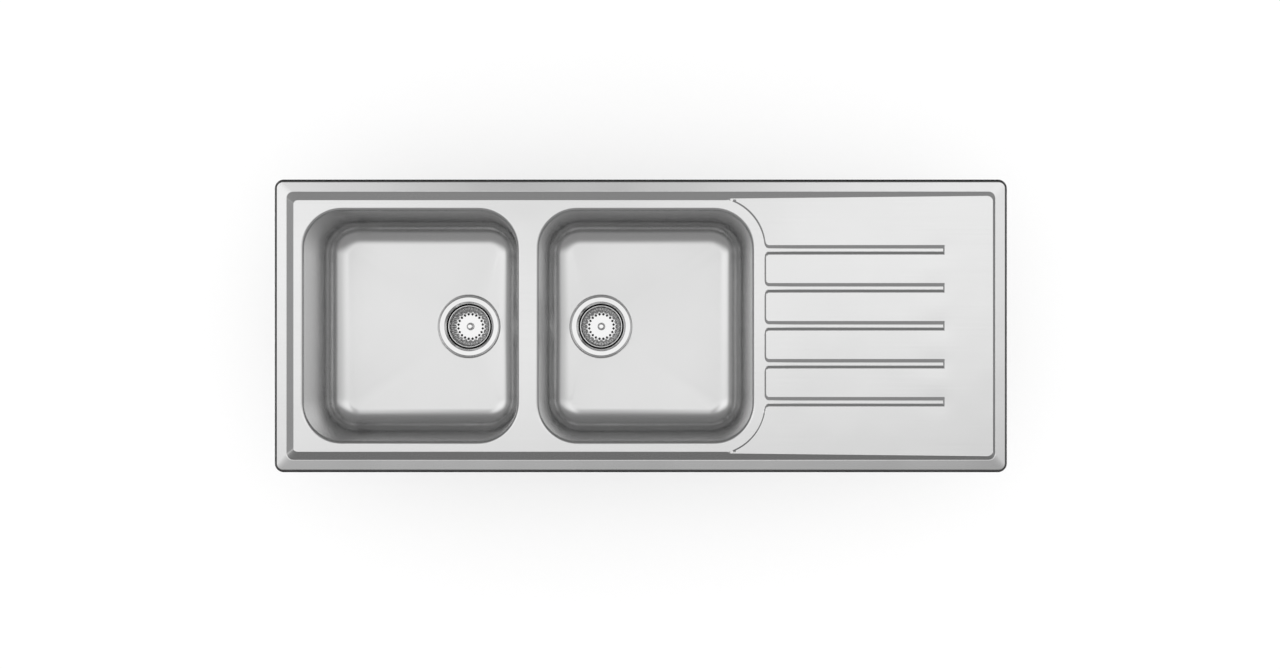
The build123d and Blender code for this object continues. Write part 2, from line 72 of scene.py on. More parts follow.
# Light that metal reflects: a long softbox overhead, with darker surroundings.
# Places in the softbox are runs, sideways per unit of height, as seen from the sink.
# high_from and back_from are the upward and backward parts of a direction of unit length.
tent_radius = 40.0
tent_subdivisions = 4
softbox_level = 1.34
softbox_right = (1.00, 2.80)
softbox_left = (0.85, 1.45)
softbox_back = (0.30, 0.68)
softbox_front = (-0.08, 0.44)
diagonal = 0.7
corner_fade = (0.04, 0.55)
corner_level = 0.55
least_height = 0.001
high_level = 0.34
horizon_level = 0.26
high_from = 0.55
below_from = -0.3
below_level = 0.5
back_from = (0.30, 0.85)
back_level = 0.66
arm_run = (-0.065, 0.37)
arm_half = (0.13, 0.25)
arm_fade = 0.10
arm_level = 0.1

# Deck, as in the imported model, with a steeper rolled edge, steeper ends to the grooves
# and the sheet drawn down softly beside those ends
sheet = 0.0009
half_length = 0.625
half_width = 0.250
outline_corner = 0.0155
rim_width = 0.0217
ridge_x = half_length - rim_width
ridge_y = half_width - rim_width
rim_edge_height = 0.006
rim_height = 0.008
rim_start = 0.0070
roll_run = 0.0051
roll_skirt = 0.0003
roll_bend = 0.0008
ridge_corner = 0.012
recess_corner = 0.007
long_side_run = 0.0133
left_end_run = 0.0103
right_end_run = 0.0072
platform_z = -0.001
step_x = 0.2125
step_run = 0.0026
step_height = 0.0022
step_slope = step_height / step_run
step_corner = 0.088
step_side = 0.219
step_centre = (step_x - step_run / 2 - step_corner, step_side - step_corner)
drainer_end_drop = 0.0042
drainer_run = ridge_x - step_x
drainer_fall = (rim_height - drainer_end_drop - platform_z - step_height) / drainer_run
grooves_each_side = 2
groove_pitch = 0.0648
groove_foot = 0.00275
groove_half = 0.00795
last_groove = grooves_each_side * groove_pitch + groove_half
groove_depth = 0.0024
groove_slope = groove_depth / (groove_half - groove_foot)
groove_end = half_length - 0.107
groove_end_run = 0.0020
groove_end_blend = 0.0004
groove_foot_blend = 0.0003
step_foot_blend = 0.0002
finger_round = 0.0045
brow_bend = 0.0005
ridge_bend = 0.0011
foot_bend = 0.0009
dent_depth = 0.0004
dent_back = 0.010
dent_length = 0.028
dent_ahead = 0.014
dent_width = 0.014
bowl_lip = 0.006

# Mesh of the deck: how close its points lie, and where they lie closer
band_foot_halvings = 40
bend_steps = 4
lip_steps = 8
rim_shares = (0.4, 0.8)
ridge_pitch = 0.030
ridge_fine_pitch = 0.0025
ridge_fine_start = 0.090
ridge_fine_end = 0.030
ridge_end_gap = 0.005
short_side_parts = 24
fine_pitch = 0.0007
groove_line_pitch = 0.014
drainer_end_pitch = 0.010
side_line_pitch = 0.012
before_step = 0.006
after_step = 0.008
before_groove_end = 0.006
after_groove_end = 0.003
foot_gap = 0.0009
brow_gap = 0.0006
groove_gaps = (0.0025, 0.006, 0.013)
step_line_gap = 0.013
step_line_offsets = (-0.0012, -0.0003, 0.0004, 0.0012, 0.0019, 0.0026, 0.0034, 0.0050)
step_line_degrees = range(3, 78)
step_band_gap = 0.0025
side_line_gap = 0.023
side_step_gap = 0.012
side_band_gap = 0.014
end_band_gap = 0.012

# Bowls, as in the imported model
bowl_centres = {"left": -0.394, "right": 0.008}
waste_places = {"left": -0.3135, "right": -0.0725}
bowl_half = (0.1825, 0.197)
bowl_corner = 0.066
bowl_lean = math.tan(math.radians(3.5))
bowl_top = -0.009
floor_z = -0.177
floor_fall = 0.004
foot_radius = 0.040
seat_z = -0.182
seat_radius = 0.056
seat_wall_lean = 0.0006
seat_edge = 0.0012
waste_hole = 0.045
seat_gap = 0.0004
seat_gap_step = 0.001
bowl_wall_steps = 6
bowl_foot_steps = 16
bowl_floor_shares = (0.02, 0.1, 0.25, 0.4, 0.55, 0.7, 0.85, 0.95, 0.99, 1)

# Strainers, measured from the seat, with a flatter flange, a wider throat and a more rounded basket
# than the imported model
cup_sheet = 0.0008
cup_hole = 0.0033
cup_depth = 0.044
cup_well = 0.0284
cup_wall = 0.037
cup_wall_depth = 0.027
cup_neck = 0.0405
cup_neck_depth = 0.009
cup_throat = 0.0412
cup_throat_depth = 0.0016
cup_mouth = 0.0450
flange_level = 0.0021
flange_crown = 0.0002
flange_bevel = 0.0016
flange_radius = 0.055
drain_holes = 8
drain_ring = 0.0185
drain_hole = 0.0055
drain_hole_reach = 0.001
cup_bends = (0.0052, 0.0008, 0.0008, 0.0008, 0.0006, 0.0005, 0.0007)
cup_turns = 144
basket_sheet = 0.0006
basket_stem = 0.00255
basket_depth = 0.026
basket_dish = 0.0236
basket_dish_bend = 0.0092
basket_flute_start = 0.0256
basket_shoulder = 0.0347
basket_throat = 0.0370
basket_lip_depth = 0.003
basket_lip = 0.0388
basket_hole = 0.0028
basket_hole_ring = 0.0226
basket_inner_rings = (0.006, 0.012, 0.017)
basket_bends = (0.0004, 0.0003, 0.0004)
hole_angle = basket_hole / basket_hole_ring
hole_tolerance = 1e-3
flutes = 20
flute_angle = 2 * math.pi / flutes
flute_rows = 16
flute_depth = 0.0011

# Finishes: the part of a noise's range that is used, and the sizes of its marks and patches
noise_range = (0.3, 0.7)
mark_share = 0.15
marks_per_patch = 9
grains_per_patch = 40

# Angles beyond which an edge stays sharp, in degrees
cad_edge = 28
bowl_edge = 60
sheet_edge = 50

# Lamp that lights matt surfaces only
lamp_size = 4.0
lamp_height = 4.0
lamp_watts = 25.0


def add(tree, kind, values=None, **settings):
    """A new shader node with settings and input values; a value that is a socket is linked."""
    made = tree.nodes.new("ShaderNode" + kind)
    for name, setting in settings.items():
        setattr(made, name, setting)
    for name, value in (values or {}).items():
        if isinstance(value, bpy.types.NodeSocket):
            tree.links.new(value, made.inputs[name])
        else:
            made.inputs[name].default_value = value
    return made


def math_node(tree, operation, *values):
    """The result of an operation on values, each a number or a socket."""
    return add(tree, "Math", dict(enumerate(values)), operation=operation).outputs[0]


def product(tree, first, second):
    """Two values multiplied."""
    return math_node(tree, "MULTIPLY", first, second)


def ramp(tree, value, from_low, from_high, to_low, to_high, smooth=False):
    """A value carried from one range to another, held at its ends."""
    kind = "SMOOTHSTEP" if smooth else "LINEAR"
    ends = {"From Min": from_low, "From Max": from_high, "To Min": to_low, "To Max": to_high}
    made = add(tree, "MapRange", {"Value": value, **ends}, interpolation_type=kind, clamp=True)
    return made.outputs["Result"]


def object_noise(tree, stretch, scale, detail=3.0, roughness=0.55):
    """Noise in the object's own coordinates, drawn out by a stretch along each axis."""
    place = add(tree, "TexCoord").outputs["Object"]
    mapped = add(tree, "Mapping", {"Vector": place, "Scale": stretch}).outputs["Vector"]
    values = {"Vector": mapped, "Scale": scale, "Detail": detail, "Roughness": roughness}
    return add(tree, "TexNoise", values).outputs["Fac"]


def grey(level):
    """A colour without a tint."""
    return (level, level, level, 1.0)


def new_material(name):
    """A material with its nodes and its shader."""
    made = bpy.data.materials.new(name)
    made.use_nodes = True
    return made, made.node_tree, made.node_tree.nodes["Principled BSDF"]


def colour_between(tree, factor, low, high):
    """A colour that goes from one to another with a factor."""
    mixed = add(tree, "Mix", {"Factor": factor}, data_type="RGBA")
    mixed.inputs["A"].default_value = low
    mixed.inputs["B"].default_value = high
    return mixed.outputs["Result"]


def mix_values(tree, first, second, share):
    """Two values added in shares."""
    first_part = product(tree, first, 1 - share)
    return math_node(tree, "ADD", first_part, product(tree, second, share))


def brushed_metal(
    name, colours, roughness, grain, grain_depth, patches=4.0, anisotropy=0.0, along=None, wave=0.0
):
    """Metal with a fine grain, slow changes of gloss, faint marks of use and, if asked, slight waves."""
    made, tree, shader = new_material(name)
    fine = object_noise(tree, grain, 1.0, 4.0)
    slow = object_noise(tree, (1, 1, 1), patches, 2.0)
    marks = object_noise(tree, (1, 1, 1), marks_per_patch * patches, 5.0, 0.7)
    colour = colour_between(tree, mix_values(tree, fine, slow, 0.5), grey(colours[0]), grey(colours[1]))
    tree.links.new(colour, shader.inputs["Base Color"])
    gloss = mix_values(tree, slow, marks, mark_share)
    tree.links.new(ramp(tree, gloss, *noise_range, *roughness), shader.inputs["Roughness"])
    bump = add(tree, "Bump", {"Height": fine, "Strength": 0.5, "Distance": grain_depth})
    if wave:
        swell = add(tree, "Bump", {"Height": slow, "Strength": 1.0, "Distance": wave})
        tree.links.new(swell.outputs["Normal"], bump.inputs["Normal"])
    tree.links.new(bump.outputs["Normal"], shader.inputs["Normal"])
    shader.inputs["Metallic"].default_value = 1.0
    shader.inputs["Anisotropic"].default_value = anisotropy
    if along:
        direction = add(tree, "CombineXYZ", dict(zip("XYZ", along))).outputs["Vector"]
        tree.links.new(direction, shader.inputs["Tangent"])
    return made


def matt_material(name, low, high, roughness, scale, depth):
    """Rubber, foam or moulded plastic: a fine grain with slow changes of shade."""
    made, tree, shader = new_material(name)
    fine = object_noise(tree, (1, 1, 1), scale, 5.0, 0.6)
    slow = object_noise(tree, (1, 1, 1), scale / grains_per_patch, 2.0)
    tree.links.new(colour_between(tree, slow, low, high), shader.inputs["Base Color"])
    tree.links.new(ramp(tree, fine, *noise_range, *roughness), shader.inputs["Roughness"])
    bump = add(tree, "Bump", {"Height": fine, "Strength": 0.6, "Distance": depth})
    tree.links.new(bump.outputs["Normal"], shader.inputs["Normal"])
    return made


def dress(material, *names):
    """Gives CAD nodes a material."""
    for name in names:
        node = nodes[name]
        node.data.materials.clear()
        node.data.materials.append(material)


def soften(name):
    """Smooth shading over a CAD node, with its edges kept."""
    node = nodes[name]
    node.data.shade_smooth()
    weld = node.modifiers.new("join", "WELD")
    weld.merge_threshold = 1e-6
    node.data.set_sharp_from_angle(angle=math.radians(cad_edge))
    weighted = node.modifiers.new("normals", "WEIGHTED_NORMAL")
    weighted.keep_sharp = True


sides = ("left", "right")
clamp_numbers = range(1, 9)


def both(*names):
    """Names of the nodes that the left and the right side each have."""
    return [f"{side}_{name}" for side in sides for name in names]


# Each metal: range of grey, range of roughness, fineness of the grain along X, Y and Z, its depth, patches.
# Each matt material: darker and lighter colour, range of roughness, fineness and depth of the grain.
deck_steel = brushed_metal(
    "deck_steel", (0.65, 0.72), (0.20, 0.26), (3, 420, 420), 4e-7, 5.0,
    anisotropy=0.4, along=(1, 0, 0), wave=1e-3,
)
bowl_steel = brushed_metal("bowl_steel", (0.66, 0.71), (0.225, 0.265), (9, 9, 160), 4e-7)
polished_steel = brushed_metal("polished_steel", (0.66, 0.72), (0.08, 0.14), (60, 60, 700), 1e-6, 20.0)
basket_steel = brushed_metal("basket_steel", (0.70, 0.76), (0.10, 0.15), (200, 200, 200), 1e-6, 30.0)
knob_steel = brushed_metal("knob_steel", (0.72, 0.78), (0.06, 0.10), (300, 300, 900), 1e-6, 60.0)
plated_steel = brushed_metal("plated_steel", (0.52, 0.62), (0.28, 0.38), (400, 400, 1200), 5e-6, 60.0)
galvanised = brushed_metal("galvanised_steel", (0.42, 0.58), (0.32, 0.50), (160, 160, 160), 1e-5, 60.0)
black_rubber = matt_material("black_rubber", grey(0.02), grey(0.035), (0.55, 0.75), 1200, 3e-5)
seal_foam = matt_material("seal_foam", grey(0.05), grey(0.08), (0.8, 0.95), 1600, 1e-4)
damping_pad = matt_material("damping_pad", grey(0.10), grey(0.14), (0.75, 0.9), 700, 1e-4)
outlet_plastic = matt_material("outlet_plastic", grey(0.74), grey(0.80), (0.35, 0.5), 900, 1e-5)
brass = brushed_metal("insert_brass", (0.5, 0.6), (0.28, 0.34), (300, 300, 900), 3e-6, 60.0)

dress(deck_steel, "deck")
dress(bowl_steel, *both("bowl"))
dress(polished_steel, *both("strainer_cup"))
dress(basket_steel, *both("basket"))
dress(knob_steel, *both("basket_knob"))
dress(plated_steel, *both("basket_nut", "outlet_screw"), "clamp_screws")
dress(plated_steel, *[f"clamp_nut_{n}" for n in clamp_numbers])
dress(galvanised, "clamp_brackets", *[f"clamp_claw_{n}" for n in clamp_numbers])
dress(black_rubber, *both("basket_seal", "flange_gasket", "outlet_gasket"))
dress(seal_foam, "rim_seal")
dress(damping_pad, *both("bowl_pad"), "drainer_pads")
dress(outlet_plastic, *both("outlet_body"))
dress(brass, *both("outlet_insert"))
for node_name in nodes:
    soften(node_name)


def rounded_rectangle(half_x, half_y, corner, corner_steps=16, side_steps=20):
    """Points round a rectangle with round corners, anticlockwise from the middle of its right side."""
    points = []
    for quarter in range(4):
        turn = math.radians(90 * quarter)
        across, up = (half_x, half_y) if quarter % 2 == 0 else (half_y, half_x)
        local = [(across, (up - corner) * i / side_steps) for i in range(side_steps)]
        for i in range(corner_steps):
            angle = math.radians(90 * i / corner_steps)
            x = across - corner + corner * math.cos(angle)
            y = up - corner + corner * math.sin(angle)
            local.append((x, y))
        local += [((across - corner) * (1 - i / side_steps), up) for i in range(side_steps)]
        for x, y in local:
            turned_x = x * math.cos(turn) - y * math.sin(turn)
            turned_y = x * math.sin(turn) + y * math.cos(turn)
            points.append((turned_x, turned_y))
    return points


def bowl_section(centre_x, grow, inset, height):
    """Plan of one face of a bowl at a height above its floor, drawn in by an inset."""
    out = grow + (floor_z - grow + height - platform_z) * bowl_lean - inset
    ring = rounded_rectangle(bowl_half[0] + out, bowl_half[1] + out, bowl_corner + out)
    return [(centre_x + x, y) for x, y in ring]


def fallen(ring, reach, waste_x, z):
    """Points of a ring on a floor that falls to the waste, from a level at a given reach from it."""
    loop = []
    for (x, y), full in zip(ring, reach):
        share = min(1, math.hypot(x - waste_x, y) / full)
        loop.append((x, y, z - floor_fall * (1 - share)))
    return loop


def clear_of_seat(ring, waste_x, least):
    """Points of a ring, moved out from the waste where they lie nearer than the least distance."""
    kept = []
    for x, y in ring:
        out = max(1, least / math.hypot(x - waste_x, y))
        kept.append((waste_x + (x - waste_x) * out, y * out))
    return kept


def seat_loops(circle, waste_x, rim, grow, rim_z):
    """Loops from the floor's circular edge down into the seat of the strainer and on to the hole."""
    seat = seat_z - grow
    turns = [
        (rim - 0.4 * seat_edge, rim_z - 0.1 * seat_edge),
        (rim - 0.8 * seat_edge, rim_z - 0.4 * seat_edge),
        (rim - seat_edge, rim_z - 0.9 * seat_edge),
        (seat_radius + grow, seat + 0.3 * seat_edge),
        (seat_radius + grow - 0.3 * seat_edge, seat),
        (waste_hole, seat),
    ]
    loops = []
    for radius, z in turns:
        share = radius / rim
        loops.append([(waste_x + (x - waste_x) * share, y * share, z) for x, y in circle])
    return loops


def bowl_loops(centre_x, waste_x, grow):
    """Loops of one face of a bowl, from its top edge down the wall and over the floor to the hole."""
    bottom = floor_z - grow
    rim = seat_radius + seat_wall_lean + grow + seat_edge
    edge = bowl_section(centre_x, grow, 0, 0)
    reach = [math.hypot(x - waste_x, y) for x, y in edge]
    lean = math.atan(bowl_lean)
    foot = foot_radius + grow
    foot_top = foot * (1 - math.sin(lean))
    foot_inset = foot_top / math.cos(lean)
    top = bowl_top - bottom
    loops = []
    for i in range(bowl_wall_steps):
        height = top + (foot_top - top) * i / bowl_wall_steps
        loops.append([(x, y, bottom + height) for x, y in bowl_section(centre_x, grow, 0, height)])
    for i in range(bowl_foot_steps + 1):
        angle = (math.pi / 2 - lean) * (1 - i / bowl_foot_steps)
        height = foot - foot * math.cos(angle)
        inset = foot_inset - foot * math.sin(angle) + height * bowl_lean
        least = rim + (seat_gap + seat_gap_step * (bowl_foot_steps - i))
        ring = clear_of_seat(bowl_section(centre_x, grow, inset, height), waste_x, least)
        loops.append(fallen(ring, reach, waste_x, bottom + height))
    outer = clear_of_seat(bowl_section(centre_x, grow, foot_inset, 0), waste_x, rim + seat_gap)
    circle = [(waste_x + rim * (x - waste_x) / full, rim * y / full) for (x, y), full in zip(edge, reach)]
    for share in bowl_floor_shares:
        ring = [(a + (c - a) * share, b + (d - b) * share) for (a, b), (c, d) in zip(outer, circle)]
        loops.append(fallen(ring, reach, waste_x, bottom))
    rim_z = bottom - floor_fall * (1 - rim / (sum(reach) / len(reach)))
    return loops + seat_loops(circle, waste_x, rim, grow, rim_z)


def put_in_scene(name, data):
    """A new object in the scene, with a mesh, a light or a camera."""
    made = bpy.data.objects.new(name, data)
    bpy.context.scene.collection.objects.link(made)
    return made


def new_piece(name, vertices, faces):
    """A new object with a mesh of vertices and faces."""
    mesh = bpy.data.meshes.new(name)
    mesh.from_pydata(vertices, [], faces)
    return put_in_scene(name, mesh)


def closed_mesh(name, loops):
    """A closed mesh through loops of like counts, the last joined to the first."""
    count = len(loops[0])
    vertices = [point for loop in loops for point in loop]
    faces = []
    for i in range(len(loops)):
        here, there = i * count, (i + 1) % len(loops) * count
        for j in range(count):
            k = (j + 1) % count
            faces.append((here + j, there + j, there + k, here + k))
    piece = new_piece(name, vertices, faces)
    piece.data.validate()
    piece.data.shade_smooth()
    piece.data.set_sharp_from_angle(angle=math.radians(bowl_edge))
    return piece


def sheet_piece(name, points, normals, faces, thickness, own_normals):
    """A closed piece of sheet from its upper face: a lower face and walls along every open edge."""
    count = len(points)
    vertices = list(points) + [p - n * thickness for p, n in zip(points, normals)]
    leans = list(normals) + [-n for n in normals]
    everything = list(faces) + [tuple(count + v for v in reversed(face)) for face in faces]
    sides_of = {(face[i - 1], face[i]) for face in faces for i in range(len(face))}
    for a, b in [pair for pair in sides_of if pair[::-1] not in sides_of]:
        wall = [vertices[b], vertices[a], vertices[count + a], vertices[count + b]]
        lean = (wall[0] - wall[1]).cross(normals[a]).normalized()
        first = len(vertices)
        vertices += wall
        leans += [lean] * 4
        everything.append((first, first + 1, first + 2, first + 3))
    piece = new_piece(name, vertices, everything)
    piece.data.shade_smooth()
    if own_normals:
        piece.data.normals_split_custom_set_from_vertices(leans)
    else:
        piece.data.set_sharp_from_angle(angle=math.radians(sheet_edge))
    return piece


def show_instead(piece, node, body, material):
    """Shows a piece in place of a CAD node, on the node's body and in the slot of its finish."""
    piece.data.materials.append(material)
    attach(piece, body)
    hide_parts(node)


def make_bowl(side):
    """A drawn bowl with its walls, round foot and falling floor."""
    centre_x, waste_x = bowl_centres[side], waste_places[side]
    inside = bowl_loops(centre_x, waste_x, 0)
    outside = bowl_loops(centre_x, waste_x, sheet)
    piece = closed_mesh(f"{side}_drawn_bowl", inside + outside[::-1])
    show_instead(piece, f"{side}_bowl", "sink", bowl_steel)


for bowl_side in sides:
    make_bowl(bowl_side)


def smooth_profile(corners, rounds, steps=6):
    """Points and upper normals along a line of (radius, height) corners, each rounded by a length."""
    points, leans = [], []
    ways = [(Vector(b) - Vector(a)).normalized() for a, b in zip(corners, corners[1:])]
    fronts = [Vector((-way.y, way.x)) for way in ways]
    points.append(Vector(corners[0]))
    leans.append(fronts[0])
    for i in range(1, len(corners) - 1):
        corner = Vector(corners[i])
        before, after = corner - ways[i - 1] * rounds[i - 1], corner + ways[i] * rounds[i - 1]
        for j in range(steps + 1):
            t = j / steps
            points.append(before * (1 - t) ** 2 + corner * 2 * t * (1 - t) + after * t * t)
            leans.append(fronts[i - 1].lerp(fronts[i], t).normalized())
    points.append(Vector(corners[-1]))
    leans.append(fronts[-1])
    return points, leans


def pocket_distance(x, y):
    """Distance outside the foot of the step, which runs round the right bowl; negative on the platform."""
    across = x - step_centre[0]
    up = abs(y) - step_centre[1]
    if across > 0 and up > 0:
        return math.hypot(across, up) - step_corner
    return max(across, up) - step_corner


def soft_max(a, b, blend):
    """The larger of two heights, with a round valley where they meet."""
    gap = b - a
    if gap >= blend:
        return b
    if gap <= -blend:
        return a
    return a + (gap + blend) ** 2 / (4 * blend)


def drainer_plane(x):
    """Height of the plane that the grooves are pressed into."""
    return platform_z + step_height + drainer_fall * (x - step_x)


def dent(x, y):
    """How far the sheet is drawn down round the closed end of the nearest groove."""
    along = (x - groove_end + dent_back) / (dent_length if x < groove_end - dent_back else dent_ahead)
    return -dent_depth * math.exp(-along * along / 2 - (y / dent_width) ** 2 / 2)


def floor_height(x, y):
    """Height of the pressed sheet inside the band: platform, step, drainer and grooves."""
    plane = drainer_plane(x)
    number = max(-grooves_each_side, min(grooves_each_side, round(y / groove_pitch)))
    centre = groove_pitch * number
    side_wall = groove_slope * (abs(y - centre) - groove_half)
    end_wall = groove_depth / groove_end_run * (x - groove_end)
    wall = soft_max(side_wall, end_wall, groove_end_blend)
    from_step = pocket_distance(x, y) - (plane - platform_z) / step_slope
    from_groove = wall / groove_slope
    if from_step < finger_round and from_groove < finger_round:
        far_step, far_groove = finger_round - from_step, finger_round - from_groove
        reach = math.hypot(far_step, far_groove)
        inside = finger_round - reach
        slope = (step_slope * far_step ** 2 + groove_slope * far_groove ** 2) / reach ** 2
    else:
        inside = min(from_step, from_groove)
        slope = step_slope if from_step < from_groove else groove_slope
    if inside >= brow_bend:
        drop = 0
    elif inside <= -brow_bend:
        drop = slope * inside
    else:
        drop = -slope * (brow_bend - inside) ** 2 / (4 * brow_bend)
    drop = soft_max(-groove_depth, drop, groove_foot_blend)
    return soft_max(platform_z, plane + drop + dent(x, y - centre), step_foot_blend)


def floor_normal(x, y, reach=5e-5):
    """The normal of the pressed sheet, from heights on either side."""
    slope_x = (floor_height(x + reach, y) - floor_height(x - reach, y)) / (2 * reach)
    slope_y = (floor_height(x, y + reach) - floor_height(x, y - reach)) / (2 * reach)
    return Vector((-slope_x, -slope_y, 1)).normalized()


def spread(low, high, pitch):
    """Even places from low to high, no further apart than the pitch."""
    count = max(1, math.ceil((high - low) / pitch - 1e-6))
    return [low + (high - low) * i / count for i in range(count + 1)]


def plan_loop(half_x, half_y, corner, centre_x, long_places, short_places, corner_steps=12):
    """Points round a rounded rectangle, on its straight sides at given shares of their half length."""
    reach_x, reach_y = half_x - corner, half_y - corner
    angles = [math.radians(90 * i / corner_steps) for i in range(corner_steps + 1)]
    arc = [(corner * math.cos(angle), corner * math.sin(angle)) for angle in angles]
    points = [(half_x, reach_y * place) for place in short_places]
    points += [(reach_x + a, reach_y + b) for a, b in arc]
    points += [(reach_x * place, half_y) for place in reversed(long_places)]
    points += [(-reach_x - b, reach_y + a) for a, b in arc]
    points += [(-half_x, reach_y * place) for place in reversed(short_places)]
    points += [(-reach_x - a, -reach_y - b) for a, b in arc]
    points += [(reach_x * place, -half_y) for place in long_places]
    points += [(reach_x + b, -reach_y - a) for a, b in arc]
    return [(centre_x + x, y) for x, y in points]


def outward(loop):
    """Unit normals in plan of an anticlockwise loop."""
    normals = []
    for i in range(len(loop)):
        (x0, y0), (x1, y1) = loop[i - 1], loop[(i + 1) % len(loop)]
        run = math.hypot(x1 - x0, y1 - y0)
        normals.append(Vector(((y1 - y0) / run, (x0 - x1) / run, 0)))
    return normals


def bend_loops(before, corner, after, steps):
    """Loops of a round bend at a corner loop, between loops of points on either side of it."""
    loops = []
    for i in range(steps + 1):
        t = i / steps
        rows = zip(before, corner, after)
        loops.append([a * (1 - t) ** 2 + b * 2 * t * (1 - t) + c * t * t for a, b, c in rows])
    return loops


def towards(start, end, distance):
    """Points moved from the points of one loop towards those of another."""
    return [a + (b - a).normalized() * distance for a, b in zip(start, end)]


def edge_loops(places):
    """Loops of the rolled edge with their normals, from the skirt up to the start of the rim."""
    facing = outward(plan_loop(half_length, half_width, outline_corner, 0, *places))
    rise = (rim_height - rim_edge_height) / rim_width
    corners = [
        (-rim_start, rim_edge_height + rise * rim_start),
        (-roll_run, rim_edge_height + rise * roll_run),
        (0, roll_skirt),
        (0, 0),
    ]
    loops = []
    for point, lean in reversed(list(zip(*smooth_profile(corners, (roll_bend, roll_bend))))):
        out = point.x
        ring = plan_loop(half_length + out, half_width + out, outline_corner + out, 0, *places)
        front = [n * lean.x + Vector((0, 0, lean.y)) for n in facing]
        loops.append(([Vector((x, y, point.y)) for x, y in ring], front))
    return loops


def ridge_loop(places):
    """The sharp line of the ridge, where the rim meets the band, before it is rounded."""
    ring = plan_loop(ridge_x, ridge_y, ridge_corner, 0, *places)
    return [Vector((x, y, rim_height)) for x, y in ring]


def recess_loop(places):
    """The line where the band would meet the level of the platform."""
    ring = plan_loop(
        ridge_x - (left_end_run + right_end_run) / 2,
        ridge_y - long_side_run,
        recess_corner,
        (left_end_run - right_end_run) / 2,
        *places,
    )
    return [Vector((x, y, platform_z)) for x, y in ring]


def band_foot(top, bottom):
    """The point where the band, which goes from one point to another, meets the sheet inside it."""
    near, far = 0.0, 1.0
    for _ in range(band_foot_halvings):
        middle = (near + far) / 2
        point = top.lerp(bottom, middle)
        if point.z > floor_height(point.x, point.y):
            near = middle
        else:
            far = middle
    return top.lerp(bottom, near)


def band_normals(ridge, low):
    """Normals of the band between the ridge and the recess."""
    normals = []
    for i in range(len(ridge)):
        after = (i + 1) % len(ridge)
        along = low[after] - low[i - 1] + ridge[after] - ridge[i - 1]
        normals.append(along.cross(ridge[i] - low[i]).normalized() * -1)
    return normals


def bent(loops, first_normals, last_normals):
    """Loops of a bend with normals that turn evenly from the first to the last."""
    pairs = []
    for i, ring in enumerate(loops):
        share = i / (len(loops) - 1)
        leans = [a.lerp(b, share).normalized() for a, b in zip(first_normals, last_normals)]
        pairs.append((ring, leans))
    return pairs


def rim_loops(long_places, short_places):
    """Loops of the pressed sheet with their normals, from the skirt over the rim to the band's foot."""
    places = (long_places, short_places)
    loops = edge_loops(places)
    rim_loop, rim_normal = loops[-1]
    ridge = ridge_loop(places)
    low = recess_loop(places)
    feet = [band_foot(top, bottom) for top, bottom in zip(ridge, low)]
    band_normal = band_normals(ridge, low)
    ridge_out = towards(ridge, rim_loop, ridge_bend)
    ridge_in = towards(ridge, feet, ridge_bend)
    for share in rim_shares:
        loops.append(([a.lerp(b, share) for a, b in zip(rim_loop, ridge_out)], rim_normal))
    loops += bent(bend_loops(ridge_out, ridge, ridge_in, bend_steps), rim_normal, band_normal)
    inner, inner_normal = [], []
    for foot, out in zip(feet, outward([(p.x, p.y) for p in feet])):
        x, y = foot.x - out.x * foot_bend, foot.y - out.y * foot_bend
        inner.append(Vector((x, y, floor_height(x, y))))
        inner_normal.append(floor_normal(x, y))
    foot_out = towards(feet, ridge, foot_bend)
    return loops + bent(bend_loops(foot_out, feet, inner, bend_steps), band_normal, inner_normal)


def lip_loops(centre_x):
    """Loops of one opening with their normals, from the platform over the lip and down the collar."""
    full_turn = math.radians(90) - math.atan(bowl_lean)
    reach = bowl_lip * math.tan(full_turn / 2)
    loops = []
    for i in range(lip_steps + 2):
        angle = min(i / lip_steps, 1) * full_turn
        offset = reach - bowl_lip * math.sin(angle)
        z = platform_z - bowl_lip * (1 - math.cos(angle))
        if i > lip_steps:
            offset = (bowl_top - platform_z) * bowl_lean
            z = bowl_top
        ring = rounded_rectangle(bowl_half[0] + offset, bowl_half[1] + offset, bowl_corner + offset)
        inward, up = -math.sin(angle), math.cos(angle)
        leans = [Vector((n.x * inward, n.y * inward, up)) for n in outward(ring)]
        loops.append(([Vector((centre_x + x, y, z)) for x, y in ring], leans))
    return loops


def drainer_columns():
    """Places along the drainer, close together at the step and at the ends of the grooves."""
    drainer_end = ridge_x - end_band_gap
    places = spread(step_x - before_step, step_x + after_step, fine_pitch)
    places += spread(step_x + after_step, groove_end - before_groove_end, groove_line_pitch)[1:]
    places += spread(groove_end - before_groove_end, groove_end + after_groove_end, fine_pitch)[1:]
    places += spread(groove_end + after_groove_end, drainer_end, drainer_end_pitch)[1:]
    return places


def drainer_rows():
    """Places across the drainer, close together at the foot and the brow of every groove."""
    half = [0, groove_foot - foot_gap, groove_foot, groove_foot + foot_gap]
    half += [(groove_foot + groove_half) / 2, groove_half - brow_gap, groove_half, groove_half + brow_gap]
    half += [groove_half + gap for gap in groove_gaps]
    places = []
    for number in range(-grooves_each_side, grooves_each_side + 1):
        places += [number * groove_pitch + offset for offset in half]
        places += [number * groove_pitch - offset for offset in half[1:]]
        if number < grooves_each_side:
            places.append((number + 0.5) * groove_pitch)
    return sorted(places)


def side_lines(sign):
    """Lines along the plain strip between the last groove and the band."""
    first_x, last_x = step_x + side_step_gap, ridge_x - end_band_gap
    columns = spread(first_x, last_x, groove_line_pitch)
    rows = spread(last_groove + side_line_gap, ridge_y - side_band_gap, side_line_pitch)
    return [[(x, sign * y) for x in columns] for y in rows]


